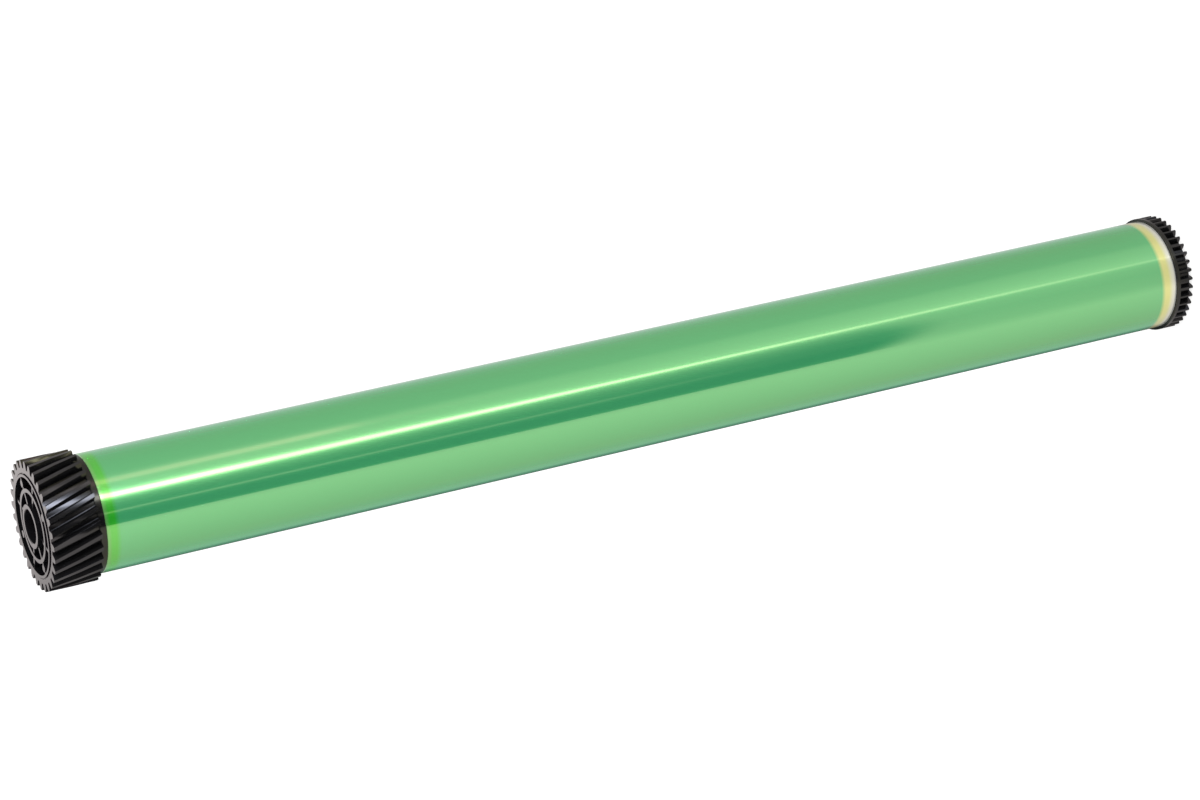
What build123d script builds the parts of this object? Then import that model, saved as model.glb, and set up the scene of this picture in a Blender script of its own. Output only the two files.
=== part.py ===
from build123d import *
from math import acos, atan, cos, pi, radians, sin, sqrt, tan
import os

# Photoconductor drum of a laser printer: an aluminium tube with a moulded gear flange in each end.
# It stands on its spur gear, and its axis is Z.

# Aluminium tube
drum_d = 24.0
drum_wall = 0.75
drum_length = 249.0
drum_edge_break = 0.25

# Plug of each flange, glued into the tube
plug_clearance = 0.05
plug_length = 9.0
plug_wall = 1.4
plug_lead_in = 0.6
plug_rib_count = 6
plug_rib_thickness = 0.8
web_thickness = 1.5

# Centre bores for the machine's shaft, and the bosses around them
bore_d = 6.9
bore_lead_in = 0.15
boss_wall = 1.0

# Tooth form of both gears. Their addendum and dedendum, below, are counted in modules.
pressure_deg = 20.0
backlash = 0.04

# Helical drive gear, left hand
drive_teeth = 30
drive_module = 0.8
drive_helix_deg = 18.0
drive_addendum = 0.73
drive_dedendum = 1.21
drive_face_width = 9.9
drive_tooth_phase_deg = 11.0
drive_tooth_steps = 2

# Collar between the helical gear and the tube, flush with the tube
drive_collar_width = 1.2

# Open face of the helical gear: inside the teeth come a rim, a groove, a bead and the recess
rim_width = 1.25
bead_width = 0.55
bead_proud = 0.2
groove_width = 0.25
groove_depth = 0.4
ring_d = 15.0
ring_wall = 0.8
boss_proud = 0.5
face_rib_count = 8
face_rib_thickness = 0.6
face_rib_phase_deg = 12.5
face_rib_drop = 0.1
pad_count = 4
pad_d = 1.5
pad_circle_d = 17.2

# Spur gear, and its collar against the tube, level with the tips of the teeth
spur_teeth = 40
spur_module = 0.6
spur_face_width = 3.2
spur_addendum = 1.0
spur_dedendum = 1.25
spur_collar_width = 0.7
spur_rim_width = 2.05

# Earth contact plate, staked on two posts inside the spur gear flange
plate_thickness = 0.2
plate_edge_setback = 0.8
plate_opening_d = 9.6
claw_count = 4
claw_width = 2.0
claw_rise = 0.5
claw_clearance = 0.02
tongue_count = 2
tongue_width = 1.6
tongue_grip = 0.65
tongue_rise = 0.8
post_count = 2
post_circle_d = 14.4
post_d = 2.4
post_phase_deg = 90.0
stake_d = 1.3
stake_head_d = 2.2
stake_head_height = 0.5
stake_clearance = 0.05
boss_setback = 1.2

# How far a tooth or a rib runs into the wall it joins, and a cutter past the face it opens
tooth_weld = 0.4
rib_weld = 0.3
cutter_overrun = 1.0

# Sizes that follow from the driving ones
tube_bore_d = drum_d - 2 * drum_wall
plug_d = tube_bore_d - 2 * plug_clearance
plug_bore_d = plug_d - 2 * plug_wall
boss_d = bore_d + 2 * boss_wall
drive_pitch_d = drive_module * drive_teeth / cos(radians(drive_helix_deg))
drive_tip_d = drive_pitch_d + 2 * drive_addendum * drive_module
drive_root_d = drive_pitch_d - 2 * drive_dedendum * drive_module
bead_d = drive_root_d - 2 * rim_width
face_recess_d = bead_d - 2 * bead_width
spur_tip_d = spur_module * (spur_teeth + 2 * spur_addendum)
spur_root_d = spur_module * (spur_teeth - 2 * spur_dedendum)
spur_recess_d = spur_root_d - 2 * spur_rim_width
plate_d = plug_d - 2 * plate_edge_setback
tongue_gap = bore_d - 2 * tongue_grip

# Heights along the axis, from the standing face up
tube_z = spur_face_width + spur_collar_width
spur_plug_end_z = tube_z + plug_length
tube_end_z = tube_z + drum_length
drive_plug_end_z = tube_end_z - plug_length
drive_gear_z = tube_end_z + drive_collar_width
drive_face_z = drive_gear_z + drive_face_width
boss_top_z = drive_face_z + boss_proud


def radial_plane(angle_deg):
    """Upright plane through the axis: its x runs outwards at the angle, its y runs up."""
    angle = radians(angle_deg)
    return Plane(origin=(0, 0, 0), x_dir=(cos(angle), sin(angle), 0), z_dir=(sin(angle), -cos(angle), 0))


def involute(angle):
    return tan(angle) - angle


def tooth_outline(teeth, module, tip_d, root_d, helix_deg, phase_deg):
    """One tooth of a gear's transverse section, centred on phase_deg, closed inside the root circle.

    Each flank is two straight strokes between points of the involute, within 0.02 mm of it.
    """
    helix = radians(helix_deg)
    pitch_r = teeth * module / cos(helix) / 2
    transverse_pressure = atan(tan(radians(pressure_deg)) / cos(helix))
    base_r = pitch_r * cos(transverse_pressure)
    half_tooth_angle = (pi * pitch_r / teeth - backlash) / (2 * pitch_r)
    start_r = max(base_r, root_d / 2)
    tip_r = tip_d / 2
    radii = (root_d / 2 - tooth_weld, start_r, (start_r + tip_r) / 2, tip_r)

    def flank_point(radius, side):
        lean = involute(transverse_pressure) - involute(acos(base_r / max(radius, base_r)))
        angle = radians(phase_deg) + side * (half_tooth_angle + lean)
        return (radius * cos(angle), radius * sin(angle))

    rising = [flank_point(radius, -1) for radius in radii]
    falling = [flank_point(radius, 1) for radius in reversed(radii)]
    crest = (tip_r * cos(radians(phase_deg)), tip_r * sin(radians(phase_deg)))
    with BuildLine() as outline:
        Polyline(*rising)
        ThreePointArc(rising[-1], crest, falling[0])
        Polyline(*falling, rising[0])
    return outline.line


def bore_mouths(flange):
    """The two edges where the shaft bore of a flange opens."""
    circles = flange.edges().filter_by(GeomType.CIRCLE)
    return circles.filter_by(lambda edge: abs(edge.radius - bore_d / 2) < bore_lead_in / 2 and edge.is_closed)


# Aluminium tube with broken edges
with BuildPart() as drum_tube:
    with BuildSketch(Plane.XY.offset(tube_z)):
        Circle(drum_d / 2)
        Circle(tube_bore_d / 2, mode=Mode.SUBTRACT)
    extrude(amount=drum_length)
    outer_edges = drum_tube.edges().filter_by(GeomType.CIRCLE).group_by(SortBy.RADIUS)[-1]
    chamfer(outer_edges, drum_edge_break)
drum_tube.part.label = "drum_tube"


# Tooth of the helical gear, lofted along the left-hand helix in straight steps, within 0.03 mm of it
drive_lead = pi * drive_pitch_d / tan(radians(drive_helix_deg))
with BuildPart() as drive_tooth:
    for step in range(drive_tooth_steps + 1):
        height = drive_face_width * step / drive_tooth_steps
        turn_deg = 360 * (drive_face_width - height) / drive_lead
        with BuildSketch(Plane.XY.offset(drive_gear_z + height)):
            with BuildLine():
                add(tooth_outline(drive_teeth, drive_module, drive_tip_d, drive_root_d, drive_helix_deg,
                                  drive_tooth_phase_deg + turn_deg))
            make_face()
    loft(ruled=True)


# Helical gear flange: the gear is a cylinder with its teeth around it
with BuildPart() as drive_gear_flange:
    with BuildSketch(Plane.XY.offset(drive_gear_z)):
        Circle(drive_root_d / 2)
    extrude(amount=drive_face_width)
    with PolarLocations(0, drive_teeth):
        add(drive_tooth.part)

    # Collar, and the plug with its lead-in
    with BuildSketch(Plane.XY.offset(tube_end_z)):
        Circle(drum_d / 2)
    extrude(amount=drive_collar_width)
    with BuildSketch(Plane.XY.offset(tube_end_z)):
        Circle(plug_d / 2)
    extrude(amount=-plug_length)
    chamfer(drive_gear_flange.faces().sort_by(Axis.Z)[0].edges(), plug_lead_in)

    # Recess of the open face down to the web, and the hollow of the plug up to it
    with BuildSketch(Plane.XY.offset(tube_end_z)):
        Circle(face_recess_d / 2)
    extrude(amount=drive_face_z - tube_end_z + cutter_overrun, mode=Mode.SUBTRACT)
    with BuildSketch(Plane.XY.offset(tube_end_z - web_thickness)):
        Circle(plug_bore_d / 2)
    extrude(amount=-plug_length, mode=Mode.SUBTRACT)

    # Bead around the recess, proud of the teeth, and the groove outside it
    with BuildSketch(Plane.XY.offset(drive_face_z)):
        Circle(bead_d / 2)
        Circle(face_recess_d / 2, mode=Mode.SUBTRACT)
    extrude(amount=bead_proud)
    with BuildSketch(Plane.XY.offset(drive_face_z)):
        Circle(bead_d / 2 + groove_width)
        Circle(bead_d / 2, mode=Mode.SUBTRACT)
    extrude(amount=-groove_depth, mode=Mode.SUBTRACT)

    # Middle ring, ribs and ejector pads stand on the web, in the recess
    rib_inner_r = (bore_d + boss_wall) / 2
    with BuildSketch(Plane.XY.offset(tube_end_z)):
        Circle(ring_d / 2)
        Circle(ring_d / 2 - ring_wall, mode=Mode.SUBTRACT)
    extrude(amount=drive_face_z - tube_end_z)
    face_rib_outer_r = face_recess_d / 2 + rib_weld
    with BuildSketch(Plane.XY.offset(tube_end_z)):
        with PolarLocations((rib_inner_r + face_rib_outer_r) / 2, face_rib_count, face_rib_phase_deg):
            Rectangle(face_rib_outer_r - rib_inner_r, face_rib_thickness)
    extrude(amount=drive_face_z - tube_end_z - face_rib_drop)
    with BuildSketch(Plane.XY.offset(tube_end_z)):
        with PolarLocations(pad_circle_d / 2, pad_count, face_rib_phase_deg):
            Circle(pad_d / 2)
    extrude(amount=drive_face_z - tube_end_z)

    # Boss through the whole flange, ribs inside the plug, and the shaft bore
    with BuildSketch(Plane.XY.offset(drive_plug_end_z)):
        Circle(boss_d / 2)
    extrude(amount=boss_top_z - drive_plug_end_z)
    plug_rib_outer_r = plug_bore_d / 2 + rib_weld
    with BuildSketch(Plane.XY.offset(drive_plug_end_z + plug_lead_in)):
        with PolarLocations((rib_inner_r + plug_rib_outer_r) / 2, plug_rib_count):
            Rectangle(plug_rib_outer_r - rib_inner_r, plug_rib_thickness)
    extrude(amount=plug_length - plug_lead_in - web_thickness)
    with BuildSketch(Plane.XY.offset(drive_plug_end_z)):
        Circle(bore_d / 2)
    extrude(amount=boss_top_z - drive_plug_end_z, mode=Mode.SUBTRACT)
    chamfer(bore_mouths(drive_gear_flange), bore_lead_in)
drive_gear_flange.part.label = "drive_gear_flange"


# Tooth of the spur gear
with BuildPart() as spur_tooth:
    with BuildSketch():
        with BuildLine():
            add(tooth_outline(spur_teeth, spur_module, spur_tip_d, spur_root_d, 0, 0))
        make_face()
    extrude(amount=spur_face_width)


# Spur gear flange: the gear's outer face is the standing face
with BuildPart() as spur_gear_flange:
    with BuildSketch():
        Circle(spur_root_d / 2)
    extrude(amount=spur_face_width)
    with PolarLocations(0, spur_teeth):
        add(spur_tooth.part)

    # Collar against the tube, and the plug with its lead-in
    with BuildSketch(Plane.XY.offset(spur_face_width)):
        Circle(spur_tip_d / 2)
    extrude(amount=spur_collar_width)
    with BuildSketch(Plane.XY.offset(tube_z)):
        Circle(plug_d / 2)
    extrude(amount=plug_length)
    chamfer(spur_gear_flange.faces().sort_by(Axis.Z)[-1].edges(), plug_lead_in)

    # Shallow recess in the outer face, and the hollow of the plug beyond the web
    with BuildSketch():
        Circle(spur_recess_d / 2)
    extrude(amount=tube_z - web_thickness, mode=Mode.SUBTRACT)
    with BuildSketch(Plane.XY.offset(tube_z)):
        Circle(plug_bore_d / 2)
    extrude(amount=plug_length, mode=Mode.SUBTRACT)

    # Boss from the outer face to a little short of the earth plate, and the shaft bore
    with BuildSketch():
        Circle(boss_d / 2)
    extrude(amount=spur_plug_end_z - boss_setback)
    with BuildSketch():
        Circle(bore_d / 2)
    extrude(amount=spur_plug_end_z, mode=Mode.SUBTRACT)
    chamfer(bore_mouths(spur_gear_flange), bore_lead_in)

    # Posts that carry the earth plate, with pins through it and their staked heads
    with BuildSketch(Plane.XY.offset(tube_z)):
        with PolarLocations(post_circle_d / 2, post_count, post_phase_deg):
            Circle(post_d / 2)
    extrude(amount=plug_length)
    with BuildSketch(Plane.XY.offset(spur_plug_end_z)):
        with PolarLocations(post_circle_d / 2, post_count, post_phase_deg):
            Circle(stake_d / 2)
    extrude(amount=plate_thickness)
    with BuildSketch(Plane.XY.offset(spur_plug_end_z + plate_thickness)):
        with PolarLocations(post_circle_d / 2, post_count, post_phase_deg):
            Circle(stake_head_d / 2)
    extrude(amount=stake_head_height)
spur_gear_flange.part.label = "spur_gear_flange"


# Earth plate: a sprung washer with claws that bite the tube's bore and tongues for the shaft
claw_tip_r = sqrt((tube_bore_d / 2 - claw_clearance) ** 2 - (claw_width / 2) ** 2)
claw_root_r = plate_d / 2 - plate_thickness
tongue_root_r = plate_opening_d / 2 + plate_thickness


def bent_strip(root_r, bend_r, end_r, rise):
    """Profile of a strip of the plate that leaves it at bend_r and rises to end_r."""
    foot_z = spur_plug_end_z
    lower_side = [(root_r, foot_z), (bend_r, foot_z), (end_r, foot_z + rise)]
    upper_side = [(radius, height + plate_thickness) for radius, height in reversed(lower_side)]
    return Polygon(*lower_side, *upper_side, align=None)


with BuildPart() as earth_contact_plate:
    with BuildSketch(Plane.XY.offset(spur_plug_end_z)):
        Circle(plate_d / 2)
        Circle(plate_opening_d / 2, mode=Mode.SUBTRACT)
        with PolarLocations(post_circle_d / 2, post_count, post_phase_deg):
            Circle(stake_d / 2 + stake_clearance, mode=Mode.SUBTRACT)
    extrude(amount=plate_thickness)
    for claw in range(claw_count):
        with BuildSketch(radial_plane(360 * (claw + 0.5) / claw_count)):
            bent_strip(claw_root_r, plate_d / 2 - plate_thickness / 2, claw_tip_r, claw_rise)
        extrude(amount=claw_width / 2, both=True)
    for tongue in range(tongue_count):
        with BuildSketch(radial_plane(post_phase_deg + 360 * (tongue + 0.5) / tongue_count)):
            bent_strip(tongue_root_r, plate_opening_d / 2, tongue_gap / 2, tongue_rise)
        extrude(amount=tongue_width / 2, both=True)
earth_contact_plate.part.label = "earth_contact_plate"


os.makedirs("parts", exist_ok=True)
for piece in (drum_tube, drive_gear_flange, spur_gear_flange, earth_contact_plate):
    export_step(piece.part, f"parts/{piece.part.label}.step")
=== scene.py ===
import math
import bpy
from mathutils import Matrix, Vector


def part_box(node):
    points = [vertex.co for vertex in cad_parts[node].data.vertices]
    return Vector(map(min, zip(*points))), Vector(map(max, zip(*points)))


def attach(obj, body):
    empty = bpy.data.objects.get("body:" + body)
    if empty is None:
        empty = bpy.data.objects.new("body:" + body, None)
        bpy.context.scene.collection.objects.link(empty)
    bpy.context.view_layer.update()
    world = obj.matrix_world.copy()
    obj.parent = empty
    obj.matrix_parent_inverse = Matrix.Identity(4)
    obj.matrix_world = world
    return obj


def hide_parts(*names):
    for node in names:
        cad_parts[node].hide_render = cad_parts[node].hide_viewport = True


bl_info = {
    "name": "Printer drum finishes",
    "version": (1, 0, 0),
    "blender": (4, 5, 0),
    "location": "3D View > Sidebar > Drum",
    "description": "Gives a laser printer's drum its smooth surfaces, finishes, light and camera",
    "category": "Add Mesh",
}

import bmesh
import bpy
from bpy.props import FloatProperty, FloatVectorProperty, IntProperty, PointerProperty
from mathutils import Matrix, Vector

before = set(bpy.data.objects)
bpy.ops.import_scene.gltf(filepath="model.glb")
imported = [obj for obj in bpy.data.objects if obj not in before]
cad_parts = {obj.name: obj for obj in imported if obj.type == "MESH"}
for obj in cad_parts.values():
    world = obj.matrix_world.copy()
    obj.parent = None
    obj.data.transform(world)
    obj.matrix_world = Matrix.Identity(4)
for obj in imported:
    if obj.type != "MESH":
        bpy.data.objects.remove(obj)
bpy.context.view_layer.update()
tube_low, tube_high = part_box("drum_tube")
MM = 0.001

# Sockets of the Mix node go by number, because their names repeat
FACTOR, FIRST, SECOND = 0, 2, 3
FIRST_COLOUR, SECOND_COLOUR, COLOUR_OUT = 6, 7, 2

# Tube: how far one band of the coating fades into the next, the shares of its width between which
# the thick film fades in, and how much of the paler green its clouds mix in at most
SOFT_STEP = 0.4 * MM
SHARP_STEP = 0.05 * MM
THICK_FADE = (1.15, 0.75)
CLOUD_MIX = {"From Min": 0.3, "From Max": 0.7, "To Max": 0.06}

# Marks on each surface by their size along X, Y and Z: clouds in the dipped film, turned grooves,
# flow marks and the tool's fine skin on the mouldings, and rolling lines; and the skin's depth
CLOUD_SIZE = (40 * MM, 40 * MM, 500 / 3 * MM)
GROOVE_SIZE = (250 * MM, 250 * MM, 0.12 * MM)
FLOW_SIZE = (2.5 * MM, 2.5 * MM, 2.5 * MM)
SKIN_SIZE = (0.15 * MM, 0.15 * MM, 0.15 * MM)
LINE_SIZE = (0.1 * MM, 50 / 3 * MM, 50 / 3 * MM)
SKIN_DEPTH = 0.01 * MM

# Roughness that goes with them
METAL_ROUGHNESS = {"To Min": 0.16, "To Max": 0.24}
ACETAL_ROUGHNESS = {"To Min": 0.09, "To Max": 0.15}
STEEL_ROUGHNESS = {"To Min": 0.25, "To Max": 0.42}

# Meshes: the distance within which points are one, at the tube's seam and in a copied solid, and
# the angles up to which a joint is flat, above which an edge is rounded, and below which it is smooth
SEAM = 0.001 * MM
ONE_POINT = 0.002 * MM
FLAT_DEG = 1.0
ROUNDED_DEG = 40
SMOOTH_DEG = 20

# Reflector tent: its sizes, with angles in degrees round the drum from the camera's side towards
# +X, and heights in millimetres above the spur gear's outer face. The camera's side itself is
# turned this far from -Y towards +X.
SIDE_DEG = 5.15
ANGLES = (-190, 190)
TENT_FOOT = -70
SHOULDER = 262
HEIGHTS = (TENT_FOOT, SHOULDER)
TENT_STEPS = 180
DOME_STEPS = 24

# Brightness of its panels by angle: plain ones all round, and a dark one over a part of them
SIDE_PANELS = [(19, 0.9), (30, 1.2), (34, 1.08), (45, 0.93), (56, 0.8), (64, 0.6), (94, 0.5),
               (113, 0.47), (133, 0.55), (160, 0.7), (168, 0.7), (175, 0.4)]
BELOW_PANELS = [(-185, 0.4), (-168, 0.1), (-160, 0.1), (-143, 0.26), (-133, 0.6), (-113, 0.63),
                (-94, 0.75), (-56, 1.06), (-37, 1.2)]
PLAIN_PANELS = BELOW_PANELS + [(-22, 0.88), (0, 0.76), (15, 0.85)] + SIDE_PANELS
DARK_PANEL = BELOW_PANELS + [(-29.6, 1.15), (-28.4, 0.0), (-14, 0.0), (-9, 0.06), (0, 0.1),
                             (7.5, 0.24), (11, 0.34), (15, 0.5)] + SIDE_PANELS
# The dark panel's foot fades in over these heights, and rises with the square of the angle from
# the panel's middle
DARK_FOOT = {"From Min": 17, "From Max": 37}
DARK_MIDDLE = -5.0
DARK_ROUNDING = 0.02

# Upright lights on the panels: angle, width in degrees, and strength by height
STRIP_ANGLE = [(-30, 24.2), (26, 23.4), (92, 22.6), (211, 22.9), (228, 22.9), (250, 29.0)]
STRIP_WIDTH = [(-30, 2.0), (92, 2.0), (165, 3.3), (205, 3.9), (228, 4.0), (250, 5.0)]
STRIP_LIGHT = [(-30, 0.65), (3, 1.2), (36, 1.7), (80, 2.9), (110, 4.0), (130, 4.9), (189, 5.3),
               (211, 7.0)]
STREAK_ANGLE = 50.2
STREAK_WIDTH = 4.4
STREAK_LIGHT = [(110, 0.0), (163, 0.16), (167, 0.24), (174, 0.85), (179, 1.08)]
GLINT_ANGLE = -6.5
GLINT_WIDTH = 1.3
GLINT_LIGHT = [(70, 0), (120, 0.4), (211, 0.65)]

# What all that light is multiplied by past the ends of the tube, where only the gears mirror it
DRIVE_PANELS = [(-150, 0.0), (-110, 1.9), (-30, 1.6), (-28, 1.0), (12, 1.0), (18, 2.6), (36, 2.3),
                (44, 1.15), (56, 1.15), (64, 2.1), (110, 2.4), (150, 0.0)]
SPUR_PANELS = [(-150, 0.8), (-110, 1.2), (-30, 0.8), (-28, 0.55), (15, 0.55), (60, 1.2), (115, 1.2),
               (150, 0.8)]
DRIVE_END = {"From Min": 231, "From Max": 243}
SPUR_END = {"From Min": -45, "From Max": -47}

# The dome over the tent: dark above the gear's hollows and bright on the side behind its face,
# by its height in millimetres and its Y and X in metres
DOME_START = {"From Min": SHOULDER - 2, "From Max": SHOULDER + 2}
DOME_ALONG_Y = {"From Min": 15 * MM, "From Max": 55 * MM, "To Min": 0.1, "To Max": 1.6}
DOME_ALONG_X = {"From Min": -25 * MM, "From Max": 5 * MM, "To Min": 0.6, "To Max": 1.0}

# Tints by angle: warm beside the tube, and beside the gears a plain white with a bluish strip.
# The streak is pinkish, so that it looks pale on the green film.
PANEL_TINTS = [(-143, "#D2FFEE"), (-100, "#FFFACC"), (100, "#FFFACC"), (140, "#F4FFF6")]
GEAR_TINTS = [(8, "#FDF5F4"), (16, "#E6ECFF"), (34, "#E6ECFF"), (44, "#FDF5F4")]
GEAR_TINTS_START = {"From Min": 229, "From Max": 235}
STREAK_TINT = "#FFAFA7"

# Softboxes: place in metres and power in watts of each, their side, and the point they face
SOFTBOXES = {"key_softbox": ((0.9, -0.6, 0.7), 9), "fill_softbox": ((-0.9, -0.7, 0.6), 5)}
SOFTBOX_SIDE = 0.9
SOFTBOX_AIM = (0, 0, 0.15)

# Camera: its place in metres, and the directions of its right, its top and its back
CAMERA_PLACE = (0.062084, -0.689857, 0.443108)
CAMERA_RIGHT = (-0.18459128, -0.40884868, -0.89373867)
CAMERA_TOP = (0.97932997, 0.0, -0.20226916)
CAMERA_BACK = (0.08269748, -0.91260219, 0.40039777)
SENSOR_WIDTH_MM = 36
NEAREST_SEEN = 10 * MM


def colour(hex_code):
    """A hex colour as sRGB, turned to the linear values that shaders use."""
    parts = [int(hex_code[i:i + 2], 16) / 255 for i in (1, 3, 5)]
    return [c / 12.92 if c <= 0.04045 else ((c + 0.055) / 1.055) ** 2.4 for c in parts] + [1.0]


def colour_property(name, description, hex_code):
    """A colour that a user can change."""
    return FloatVectorProperty(name=name, description=description, subtype="COLOR", size=4,
                               min=0, max=1, default=colour(hex_code))


def size_property(name, description, millimetres):
    """A size that a user can change."""
    return FloatProperty(name=name, description=description, unit="LENGTH",
                         default=millimetres * MM)


class DrumTubeSettings(bpy.types.PropertyGroup):
    """Sizes and colours of the coated tube."""
    wall: size_property("Wall", "Thickness of the aluminium", 0.75)
    edge_break: size_property("Edge break", "Width of the broken outer edges", 0.1)
    steps: IntProperty(name="Steps", description="Faces around the tube", default=240, min=24)
    bare: colour_property("Bare metal", "Turned aluminium past the undercoat", "#DEDCDD")
    bare_width: size_property("Bare width", "Uncoated metal at the spur gear", 1.1)
    undercoat: colour_property("Undercoat", "Yellowish undercoat beyond the film's end", "#E0DB8E")
    film_start: size_property("Film start", "Where the film begins, from the spur gear", 3.0)
    film: colour_property("Film", "Green light-sensitive film over the metal", "#4BB97A")
    pale_film: colour_property("Pale film", "Clouds where the film ran thinner", "#5AC684")
    thick_film: colour_property("Thick film", "Where the dip-coated film ran thicker", "#33BF30")
    thick_width: size_property("Thick film width", "Its width at the helical gear", 2.6)
    # The next two give a painted glint: a paler colour in a band at the helical gear's broken edge,
    # where that edge catches light, and the band's height
    painted_edge_glint: colour_property("Lip", "Film thinned over the broken edge at the helical gear", "#6FAE66")
    painted_glint_width: size_property("Lip width", "Height of the thinned film at the edge", 0.45)


class DrumGearSettings(bpy.types.PropertyGroup):
    """Finish of the two moulded flanges and of the earth plate."""
    edge_radius: size_property("Edge radius", "Rounding that moulding leaves on each edge", 0.06)
    plastic: colour_property("Plastic", "Black moulded acetal", "#101011")
    flow: colour_property("Flow marks", "Where the plastic is a little paler", "#18181A")
    plate: colour_property("Plate", "Rolled stainless spring steel", "#C9C6BE")


class DrumStageSettings(bpy.types.PropertyGroup):
    """Floor, light and camera."""
    floor_size: size_property("Floor size", "Side of the square floor", 6000)
    floor: colour_property("Floor", "Colour of the floor where light falls on it", "#B4B4B4")
    floor_glow: FloatProperty(name="Floor glow", description="Light of its own that the camera sees",
                              default=0.72, min=0)
    ambient: FloatProperty(name="Ambient", description="Light from all round", default=0.75, min=0)
    lens: FloatProperty(name="Lens", description="Focal length in millimetres", unit="CAMERA",
                        default=108.817, min=1)
    tent_radius: size_property("Tent radius", "Distance of the reflector panels from the axis", 90)


def node(tree, kind, inputs=(), **settings):
    """Adds a node, sets its properties, and fills its inputs with values or other nodes' sockets."""
    new = tree.nodes.new(kind)
    for name, value in settings.items():
        setattr(new, name, value)
    for name, value in dict(inputs).items():
        if isinstance(value, bpy.types.NodeSocket):
            tree.links.new(value, new.inputs[name])
        else:
            new.inputs[name].default_value = value
    return new


def material(name):
    """An empty node material and its tree."""
    new = bpy.data.materials.new(name)
    new.use_nodes = True
    new.node_tree.nodes.clear()
    return new, new.node_tree


def marks(tree, place, size, detail):
    """Noise whose marks have a real size along X, Y and Z, as a value from 0 to 1."""
    scaled = node(tree, "ShaderNodeMapping", {"Vector": place, "Scale": [1 / side for side in size]})
    noise = node(tree, "ShaderNodeTexNoise", {
        "Vector": scaled.outputs["Vector"], "Scale": 1.0, "Detail": detail})
    return noise.outputs["Fac"]


def shades(tree, value, span, stops):
    """Colour that runs through (place, colour) stops over a span of the value."""
    low, high = span
    share = node(tree, "ShaderNodeMapRange", {"Value": value, "From Min": low, "From Max": high})
    ramp = node(tree, "ShaderNodeValToRGB", {"Fac": share.outputs["Result"]})
    elements = ramp.color_ramp.elements
    while len(elements) < len(stops):
        elements.new(0.5)
    for element, (place, shade) in zip(elements, stops):
        element.position = (place - low) / (high - low)
        element.color = shade
    return ramp.outputs["Color"]


def levels(tree, value, span, stops):
    """Number that runs through (place, number) stops over a span of the value."""
    peak = max(number for place, number in stops)
    greys = [(place, (number / peak,) * 3 + (1.0,)) for place, number in stops]
    grey = shades(tree, value, span, greys)
    return node(tree, "ShaderNodeMath", {0: grey, 1: peak}, operation="MULTIPLY").outputs[0]


def coated_aluminium(s):
    """Aluminium tube, turned to a mirror and dip-coated: a green film under a clear glossy one.

    The eye gets sharp reflections off the clear film and softer green ones off the metal below it.
    """
    new, tree = material("Dip-coated aluminium")
    place = node(tree, "ShaderNodeTexCoord").outputs["Object"]
    height = node(tree, "ShaderNodeSeparateXYZ", {0: place}).outputs["Z"]
    foot, top = tube_low.z, tube_high.z
    undercoat_start = foot + s.bare_width
    film_start = foot + s.film_start
    thick_start, thick_full = (top - share * s.thick_width for share in THICK_FADE)
    painted_glint_start = top - s.painted_glint_width
    # The last band is a painted glint: a paler colour at the helical gear's broken edge, where it
    # catches light
    bands = shades(tree, height, (foot, top), [
        (undercoat_start - SOFT_STEP, s.bare), (undercoat_start + 2 * SOFT_STEP, s.undercoat),
        (film_start - SHARP_STEP, s.undercoat), (film_start + SHARP_STEP, s.film),
        (thick_start, s.film), (thick_full, s.thick_film),
        (painted_glint_start - SHARP_STEP, s.thick_film), (painted_glint_start + SHARP_STEP, s.painted_edge_glint)])
    # The film's thickness drifts a little along and around the tube, in clouds
    clouds = marks(tree, place, CLOUD_SIZE, 2.0)
    paler = node(tree, "ShaderNodeMapRange", {"Value": clouds, **CLOUD_MIX})
    green = node(tree, "ShaderNodeMixRGB", {
        "Fac": paler.outputs["Result"], "Color1": bands, "Color2": s.pale_film})
    # Turning leaves grooves round the metal, which only spread its reflections
    grooves = marks(tree, place, GROOVE_SIZE, 1.0)
    rough = node(tree, "ShaderNodeMapRange", {"Value": grooves, **METAL_ROUGHNESS})
    # The dyed film hides part of the metal, and the clear film over it mirrors more than varnish
    shader = node(tree, "ShaderNodeBsdfPrincipled", {
        "Base Color": green.outputs["Color"], "Metallic": 0.37, "Roughness": rough.outputs["Result"],
        "Coat Weight": 1.0, "Coat Roughness": 0.02, "Coat IOR": 2.1})
    node(tree, "ShaderNodeOutputMaterial", {"Surface": shader.outputs[0]})
    return new


def moulded_black_acetal(s):
    """Black acetal, injection-moulded in a finely eroded tool.

    The eye gets deep black, glossy faces with faint flow marks, and rounded edges that catch light.
    """
    new, tree = material("Moulded black acetal")
    place = node(tree, "ShaderNodeTexCoord").outputs["Object"]
    flow = marks(tree, place, FLOW_SIZE, 3.0)
    tone = node(tree, "ShaderNodeMixRGB", {"Fac": flow, "Color1": s.plastic, "Color2": s.flow})
    rough = node(tree, "ShaderNodeMapRange", {"Value": flow, **ACETAL_ROUGHNESS})
    bump = node(tree, "ShaderNodeBump", {
        "Height": marks(tree, place, SKIN_SIZE, 2.0), "Strength": 0.12, "Distance": SKIN_DEPTH})
    shader = node(tree, "ShaderNodeBsdfPrincipled", {
        "Base Color": tone.outputs["Color"], "Roughness": rough.outputs["Result"],
        "Normal": bump.outputs["Normal"], "IOR": 1.48})
    node(tree, "ShaderNodeOutputMaterial", {"Surface": shader.outputs[0]})
    return new


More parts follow.
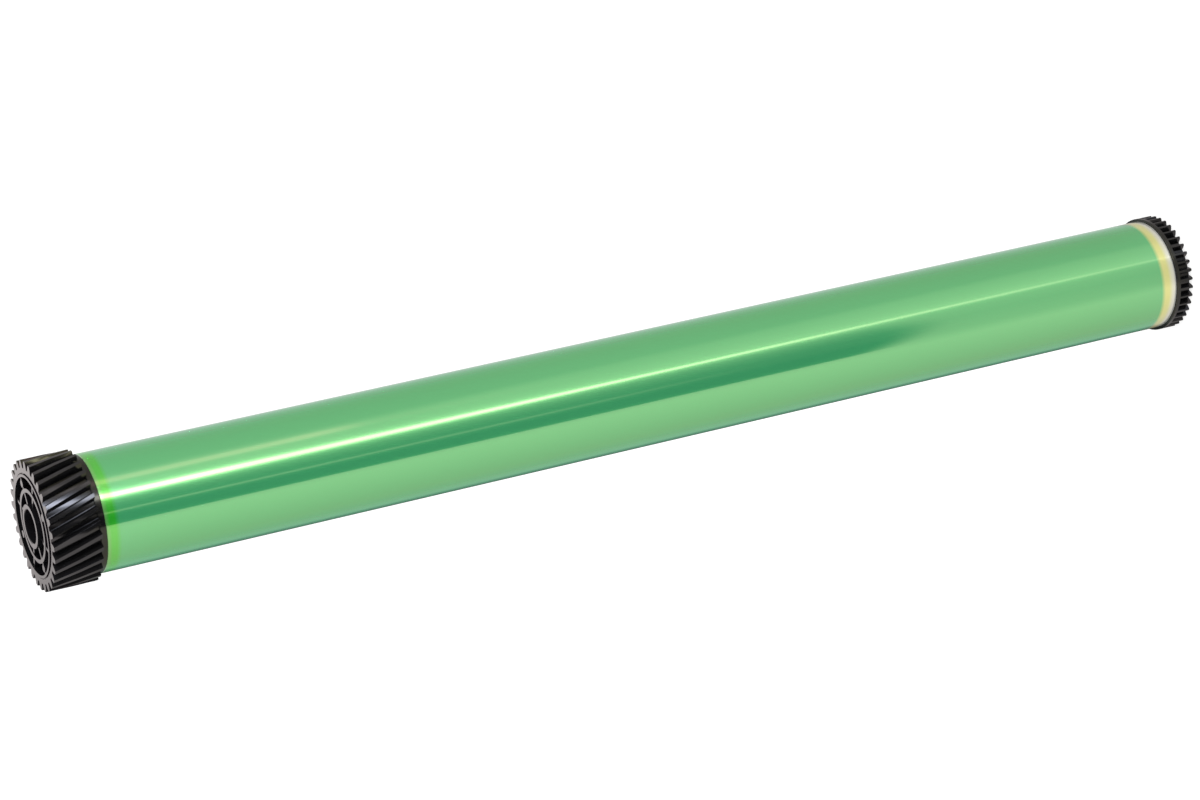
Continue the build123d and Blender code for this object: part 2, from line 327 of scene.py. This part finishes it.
def rolled_spring_steel(s):
    """Stainless spring strip, cold-rolled: fine straight lines that blur its reflections one way."""
    new, tree = material("Rolled spring steel")
    place = node(tree, "ShaderNodeTexCoord").outputs["Object"]
    lines = marks(tree, place, LINE_SIZE, 2.0)
    rough = node(tree, "ShaderNodeMapRange", {"Value": lines, **STEEL_ROUGHNESS})
    shader = node(tree, "ShaderNodeBsdfPrincipled", {
        "Base Color": s.plate, "Metallic": 1.0, "Roughness": rough.outputs["Result"]})
    node(tree, "ShaderNodeOutputMaterial", {"Surface": shader.outputs[0]})
    return new


def made(bm, name, shader):
    """Turns a bmesh into an object of the scene, with its material."""
    mesh = bpy.data.meshes.new(name)
    bm.to_mesh(mesh)
    bm.free()
    mesh.materials.append(shader)
    piece = bpy.data.objects.new(name, mesh)
    bpy.context.scene.collection.objects.link(piece)
    return piece


def smoothed(bm):
    """Points the faces of a closed bmesh outwards and shades it smooth but for its sharp edges."""
    bmesh.ops.recalc_face_normals(bm, faces=bm.faces)
    for face in bm.faces:
        face.smooth = True
    for edge in bm.edges:
        edge.smooth = len(edge.link_faces) == 2 and edge.calc_face_angle() < math.radians(SMOOTH_DEG)
    return bm


class DRUM_OT_coated_tube(bpy.types.Operator):
    """Spins the wall of the tube into a smooth tube and gives it its coating"""
    bl_idname = "drum.coated_tube"
    bl_label = "Coated tube"

    def execute(self, context):
        s = context.scene.drum_tube
        foot, top = tube_low.z, tube_high.z
        outer = tube_high.x
        inner = outer - s.wall
        broken = outer - s.edge_break
        profile = [(inner, foot), (broken, foot), (outer, foot + s.edge_break),
                   (outer, top - s.edge_break), (broken, top), (inner, top)]
        bm = bmesh.new()
        wall = [bm.verts.new((radius, 0, height)) for radius, height in profile]
        edges = [bm.edges.new(pair) for pair in zip(wall, wall[1:] + wall[:1])]
        bmesh.ops.spin(bm, geom=wall + edges, cent=(0, 0, 0), axis=(0, 0, 1), dvec=(0, 0, 0),
                       angle=math.tau, steps=s.steps, use_merge=True, use_duplicate=False)
        bmesh.ops.remove_doubles(bm, verts=bm.verts, dist=SEAM)
        tube = made(smoothed(bm), "coated_tube", coated_aluminium(s))
        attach(tube, "root")
        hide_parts("drum_tube")
        return {"FINISHED"}


def moulded_copy(name, cad_name, shader, edge_radius):
    """A copy of a flange's solid, its triangles merged to faces, its edges rounded and shaded."""
    bm = bmesh.new()
    bm.from_mesh(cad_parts[cad_name].data)
    bmesh.ops.remove_doubles(bm, verts=bm.verts, dist=ONE_POINT)
    bmesh.ops.dissolve_limit(bm, angle_limit=math.radians(FLAT_DEG), verts=bm.verts, edges=bm.edges,
                             delimit={"NORMAL"})
    sharp = [edge for edge in bm.edges
             if len(edge.link_faces) == 2 and edge.calc_face_angle() > math.radians(ROUNDED_DEG)]
    bmesh.ops.bevel(bm, geom=sharp, offset=edge_radius, offset_type="OFFSET", affect="EDGES",
                    segments=1, profile=0.5, clamp_overlap=True, material=-1)
    piece = made(smoothed(bm), name, shader)
    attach(piece, "root")
    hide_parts(cad_name)


class DRUM_OT_gear_flanges(bpy.types.Operator):
    """Makes the two moulded gear flanges with rounded edges"""
    bl_idname = "drum.gear_flanges"
    bl_label = "Gear flanges"

    def execute(self, context):
        s = context.scene.drum_gears
        shader = moulded_black_acetal(s)
        moulded_copy("helical_gear_flange", "drive_gear_flange", shader, s.edge_radius)
        moulded_copy("spur_flange", "spur_gear_flange", shader, s.edge_radius)
        return {"FINISHED"}


class DRUM_OT_earth_plate(bpy.types.Operator):
    """Gives the earth plate its spring steel"""
    bl_idname = "drum.earth_plate"
    bl_label = "Earth plate"

    def execute(self, context):
        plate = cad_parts["earth_contact_plate"]
        plate.data.materials.clear()
        plate.data.materials.append(rolled_spring_steel(context.scene.drum_gears))
        return {"FINISHED"}


def seen(tree):
    """1 where a ray comes from the camera or a mirror or glass, and 0 where it gathers light."""
    rays = node(tree, "ShaderNodeLightPath")
    mirrored = node(tree, "ShaderNodeMath", {
        0: rays.outputs["Is Camera Ray"], 1: rays.outputs["Is Glossy Ray"]}, operation="MAXIMUM")
    mirrored = node(tree, "ShaderNodeMath", {
        0: mirrored.outputs[0], 1: rays.outputs["Is Transmission Ray"]}, operation="MAXIMUM")
    return mirrored.outputs[0]


def white_floor(s):
    """Matt white painted board: flat white to the eye, but for the drum's soft shadow."""
    new, tree = material("Matt white floor")
    glow = node(tree, "ShaderNodeMath", {0: seen(tree), 1: s.floor_glow}, operation="MULTIPLY")
    shader = node(tree, "ShaderNodeBsdfPrincipled", {
        "Base Color": s.floor, "Roughness": 0.9, "Emission Color": (1, 1, 1, 1),
        "Emission Strength": glow.outputs[0]})
    node(tree, "ShaderNodeOutputMaterial", {"Surface": shader.outputs[0]})
    return new


def white_world(ambient):
    """White surroundings that light the drum with the ambient strength."""
    world = bpy.data.worlds.new("Studio")
    world.use_nodes = True
    tree = world.node_tree
    tree.nodes.clear()
    level = node(tree, "ShaderNodeMapRange", {"Value": seen(tree), "To Min": ambient, "To Max": 1.0})
    sky = node(tree, "ShaderNodeBackground", {
        "Color": (1, 1, 1, 1), "Strength": level.outputs["Result"]})
    node(tree, "ShaderNodeOutputWorld", {"Surface": sky.outputs[0]})
    return world


def upright_light(tree, angle, height, centre, width, strengths):
    """A light up the tent: 1 at its centre, a half at its width, soon nothing, times its strength."""
    offset = node(tree, "ShaderNodeMath", {0: angle, 1: centre}, operation="SUBTRACT")
    steps = node(tree, "ShaderNodeMath", {0: offset.outputs[0], 1: width}, operation="DIVIDE")
    steps = node(tree, "ShaderNodeMath", {0: steps.outputs[0], 1: 4.0}, operation="POWER")
    steps = node(tree, "ShaderNodeMath", {0: steps.outputs[0], 1: 1.0}, operation="ADD")
    bell = node(tree, "ShaderNodeMath", {0: 1.0, 1: steps.outputs[0]}, operation="DIVIDE").outputs[0]
    strength = levels(tree, height, HEIGHTS, strengths)
    return node(tree, "ShaderNodeMath", {0: bell, 1: strength}, operation="MULTIPLY").outputs[0]


def panel_light(tree, angle, height):
    """Plain panels all round, and a dark one towards the camera with a rounded foot off the floor."""
    plain = levels(tree, angle, ANGLES, PLAIN_PANELS)
    dark = levels(tree, angle, ANGLES, DARK_PANEL)
    aside = node(tree, "ShaderNodeMath", {0: angle, 1: DARK_MIDDLE}, operation="SUBTRACT")
    square = node(tree, "ShaderNodeMath", {0: aside.outputs[0], 1: 2.0}, operation="POWER")
    rise = node(tree, "ShaderNodeMath", {
        0: square.outputs[0], 1: DARK_ROUNDING}, operation="MULTIPLY")
    above = node(tree, "ShaderNodeMath", {0: height, 1: rise.outputs[0]}, operation="SUBTRACT")
    cover = node(tree, "ShaderNodeMapRange", {"Value": above.outputs[0], **DARK_FOOT},
                 interpolation_type="SMOOTHSTEP")
    return node(tree, "ShaderNodeMix", {
        FACTOR: cover.outputs["Result"], FIRST: plain, SECOND: dark}).outputs[0]


def dome_light(tree, axes):
    """A dark dome, so that the gear's hollows stay black, but for a bright side behind its face."""
    behind = node(tree, "ShaderNodeMapRange", {"Value": axes.outputs["Y"], **DOME_ALONG_Y},
                  interpolation_type="SMOOTHSTEP")
    aslant = node(tree, "ShaderNodeMapRange", {"Value": axes.outputs["X"], **DOME_ALONG_X})
    return node(tree, "ShaderNodeMath", {
        0: behind.outputs["Result"], 1: aslant.outputs["Result"]}, operation="MULTIPLY").outputs[0]


def tints(tree, angle, stops):
    """Colour of the panels, from (angle, hex colour) stops."""
    return shades(tree, angle, ANGLES, [(degrees, colour(hex_code)) for degrees, hex_code in stops])


def reflector_tent():
    """White and grey panels and upright lights round the drum: what its glossy surfaces mirror.

    They are told apart by their angle round the drum and by their height.
    """
    new, tree = material("Reflector panels")
    place = node(tree, "ShaderNodeTexCoord").outputs["Object"]
    axes = node(tree, "ShaderNodeSeparateXYZ", {0: place})
    height = node(tree, "ShaderNodeMath", {0: axes.outputs["Z"], 1: 1 / MM}, operation="MULTIPLY")
    height = height.outputs[0]
    towards = node(tree, "ShaderNodeMath", {0: axes.outputs["Y"], 1: -1.0}, operation="MULTIPLY")
    turn = node(tree, "ShaderNodeMath", {
        0: axes.outputs["X"], 1: towards.outputs[0]}, operation="ARCTAN2")
    degrees = node(tree, "ShaderNodeMath", {
        0: turn.outputs[0], 1: 180 / math.pi}, operation="MULTIPLY")
    angle = node(tree, "ShaderNodeMath", {0: degrees.outputs[0], 1: SIDE_DEG}, operation="SUBTRACT")
    angle = angle.outputs[0]

    # A strip light that narrows and dims towards the floor, a pale streak and a faint glint beside it
    strip = upright_light(tree, angle, height, levels(tree, height, HEIGHTS, STRIP_ANGLE),
                          levels(tree, height, HEIGHTS, STRIP_WIDTH), STRIP_LIGHT)
    streak = upright_light(tree, angle, height, STREAK_ANGLE, STREAK_WIDTH, STREAK_LIGHT)
    glint = upright_light(tree, angle, height, GLINT_ANGLE, GLINT_WIDTH, GLINT_LIGHT)
    wall = panel_light(tree, angle, height)
    for extra in (strip, streak, glint):
        wall = node(tree, "ShaderNodeMath", {0: wall, 1: extra}, operation="ADD").outputs[0]
    streak_share = node(tree, "ShaderNodeMath", {0: streak, 1: wall}, operation="DIVIDE").outputs[0]

    # Past each end of the tube the gears get more or less light, and over the shoulder is the dome
    past_drive = node(tree, "ShaderNodeMapRange", {"Value": height, **DRIVE_END},
                      interpolation_type="SMOOTHSTEP").outputs["Result"]
    past_spur = node(tree, "ShaderNodeMapRange", {"Value": height, **SPUR_END}).outputs["Result"]
    past_tube = node(tree, "ShaderNodeMath", {0: past_drive, 1: past_spur}, operation="MAXIMUM")
    beside = node(tree, "ShaderNodeMix", {
        FACTOR: past_spur, FIRST: levels(tree, angle, ANGLES, DRIVE_PANELS),
        SECOND: levels(tree, angle, ANGLES, SPUR_PANELS)})
    at_gears = node(tree, "ShaderNodeMath", {0: wall, 1: beside.outputs[0]}, operation="MULTIPLY")
    wall = node(tree, "ShaderNodeMix", {
        FACTOR: past_tube.outputs[0], FIRST: wall, SECOND: at_gears.outputs[0]}).outputs[0]
    on_dome = node(tree, "ShaderNodeMapRange", {"Value": height, **DOME_START}).outputs["Result"]
    total = node(tree, "ShaderNodeMix", {
        FACTOR: on_dome, FIRST: wall, SECOND: dome_light(tree, axes)}).outputs[0]

    # The panels' tint gives way to the streak's, and past the ends of the tube to that of the gears
    past_film = node(tree, "ShaderNodeMapRange", {"Value": height, **GEAR_TINTS_START},
                     interpolation_type="SMOOTHSTEP")
    past_film = node(tree, "ShaderNodeMath", {
        0: past_film.outputs["Result"], 1: past_spur}, operation="MAXIMUM")
    tint = node(tree, "ShaderNodeMix", {
        FACTOR: streak_share, FIRST_COLOUR: tints(tree, angle, PANEL_TINTS),
        SECOND_COLOUR: colour(STREAK_TINT)}, data_type="RGBA")
    tint = node(tree, "ShaderNodeMix", {
        FACTOR: past_film.outputs[0], FIRST_COLOUR: tint.outputs[COLOUR_OUT],
        SECOND_COLOUR: tints(tree, angle, GEAR_TINTS)}, data_type="RGBA")
    shader = node(tree, "ShaderNodeEmission", {
        "Color": tint.outputs[COLOUR_OUT], "Strength": total})
    node(tree, "ShaderNodeOutputMaterial", {"Surface": shader.outputs[0]})
    return new


def tent_shell(radius):
    """A round wall with a dome on it, made by spinning its profile, whose dome part is spun first."""
    foot, shoulder = TENT_FOOT * MM, SHOULDER * MM
    bm = bmesh.new()
    bottom = bm.verts.new((radius, 0, foot))
    corner = bm.verts.new((radius, 0, shoulder))
    bm.edges.new((bottom, corner))
    bmesh.ops.spin(bm, geom=[corner], cent=(0, 0, shoulder), axis=(0, -1, 0), dvec=(0, 0, 0),
                   angle=math.pi / 2, steps=DOME_STEPS, use_merge=False, use_duplicate=False)
    bmesh.ops.spin(bm, geom=bm.verts[:] + bm.edges[:], cent=(0, 0, 0), axis=(0, 0, 1), dvec=(0, 0, 0),
                   angle=math.tau, steps=TENT_STEPS, use_merge=True, use_duplicate=False)
    return bm


def only_in_reflections(panel):
    """Leaves a piece of the stage to glossy rays, so that it neither shows nor throws shadow."""
    panel.visible_camera = False
    panel.visible_diffuse = False
    panel.visible_transmission = False
    panel.visible_volume_scatter = False
    panel.visible_shadow = False


def softbox(name, place, power):
    """A square lamp that faces the drum, and that nothing mirrors."""
    data = bpy.data.lights.new(name, "AREA")
    data.shape = "RECTANGLE"
    data.size = SOFTBOX_SIDE
    data.size_y = SOFTBOX_SIDE
    data.energy = power
    lamp = bpy.data.objects.new(name, data)
    lamp.location = place
    lamp.rotation_euler = (Vector(SOFTBOX_AIM) - Vector(place)).to_track_quat("-Z", "Y").to_euler()
    lamp.visible_glossy = False
    bpy.context.scene.collection.objects.link(lamp)


def photo_camera(lens_mm):
    """A camera that sees the drum as it lies in the photograph."""
    lens = bpy.data.cameras.new("camera")
    lens.lens = lens_mm
    lens.sensor_width = SENSOR_WIDTH_MM
    lens.sensor_fit = "HORIZONTAL"
    lens.clip_start = NEAREST_SEEN
    camera = bpy.data.objects.new("camera", lens)
    turn = Matrix((CAMERA_RIGHT, CAMERA_TOP, CAMERA_BACK)).transposed()
    camera.matrix_world = Matrix.Translation(CAMERA_PLACE) @ turn.to_4x4()
    bpy.context.scene.collection.objects.link(camera)
    return camera


class DRUM_OT_stage(bpy.types.Operator):
    """Sets up the floor, the reflector panels, the lights and the camera"""
    bl_idname = "drum.stage"
    bl_label = "Stage"

    def execute(self, context):
        s = context.scene.drum_stage
        context.scene.view_settings.view_transform = "Standard"

        bm = bmesh.new()
        bmesh.ops.create_grid(bm, x_segments=1, y_segments=1, size=s.floor_size / 2)
        floor = made(bm, "floor", white_floor(s))
        floor.visible_glossy = False

        tent = made(tent_shell(s.tent_radius), "reflector_tent", reflector_tent())
        only_in_reflections(tent)

        context.scene.world = white_world(s.ambient)
        for name, (place, power) in SOFTBOXES.items():
            softbox(name, place, power)
        context.scene.camera = photo_camera(s.lens)
        return {"FINISHED"}


class DRUM_PT_panel(bpy.types.Panel):
    """The drum's operators in the sidebar"""
    bl_idname = "DRUM_PT_panel"
    bl_label = "Drum"
    bl_space_type = "VIEW_3D"
    bl_region_type = "UI"
    bl_category = "Drum"

    def draw(self, context):
        for operator in OPERATORS:
            self.layout.operator(operator.bl_idname)


OPERATORS = (DRUM_OT_coated_tube, DRUM_OT_gear_flanges, DRUM_OT_earth_plate, DRUM_OT_stage)
SETTINGS = {
    "drum_tube": DrumTubeSettings,
    "drum_gears": DrumGearSettings,
    "drum_stage": DrumStageSettings,
}


def register():
    """Makes the settings, the operators and the panel known to Blender."""
    for kind in (*SETTINGS.values(), *OPERATORS, DRUM_PT_panel):
        bpy.utils.register_class(kind)
    for name, kind in SETTINGS.items():
        setattr(bpy.types.Scene, name, PointerProperty(type=kind))


def unregister():
    """Takes them away again, in the opposite order."""
    for name in SETTINGS:
        delattr(bpy.types.Scene, name)
    for kind in (DRUM_PT_panel, *reversed(OPERATORS), *reversed(SETTINGS.values())):
        bpy.utils.unregister_class(kind)


def main():
    """Dresses the drum and sets the stage."""
    register()
    bpy.ops.drum.coated_tube()
    bpy.ops.drum.gear_flanges()
    bpy.ops.drum.earth_plate()
    bpy.ops.drum.stage()


if __name__ == "__main__":
    main()
